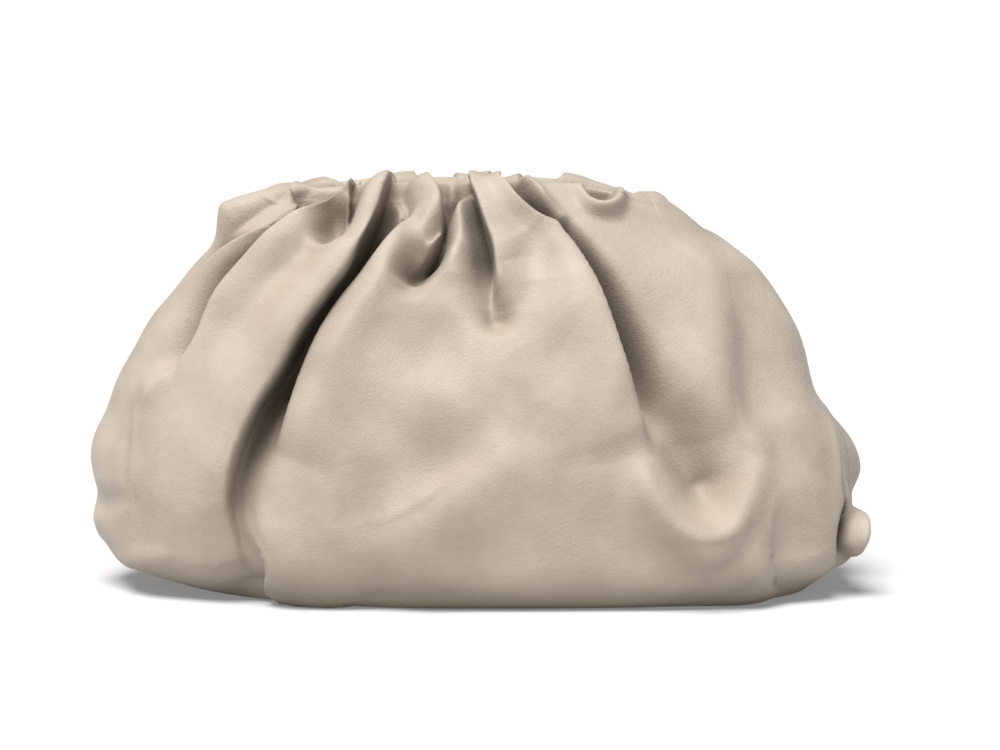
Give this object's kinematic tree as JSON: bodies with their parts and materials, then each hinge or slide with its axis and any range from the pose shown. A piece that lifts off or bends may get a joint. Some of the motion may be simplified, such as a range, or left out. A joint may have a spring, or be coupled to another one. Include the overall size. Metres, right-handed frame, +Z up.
{
  "type": "pouch bag",
  "caption": "Soft leather pouch clutch, gathered into a rolled rim over a hidden mouth frame, with a full rounded belly and a flat foot.",
  "frame": {"origin": "middle of the footprint box, on the surface that the bag stands on", "axes": "+X to the right along the mouth as seen from the front, +Y from the front panel to the back panel, +Z up out of the mouth"},
  "size_m": [0.3794, 0.1614, 0.2033],
  "materials": {
    "front_leather": "soft matte",
    "back_leather": "soft matte",
    "frame_steel": "satin"
  },
  "bodies": {
    "root": {"front_panel": "front_leather", "back_panel": "back_leather", "mouth_frame": "frame_steel"}
  },
  "joints": []
}
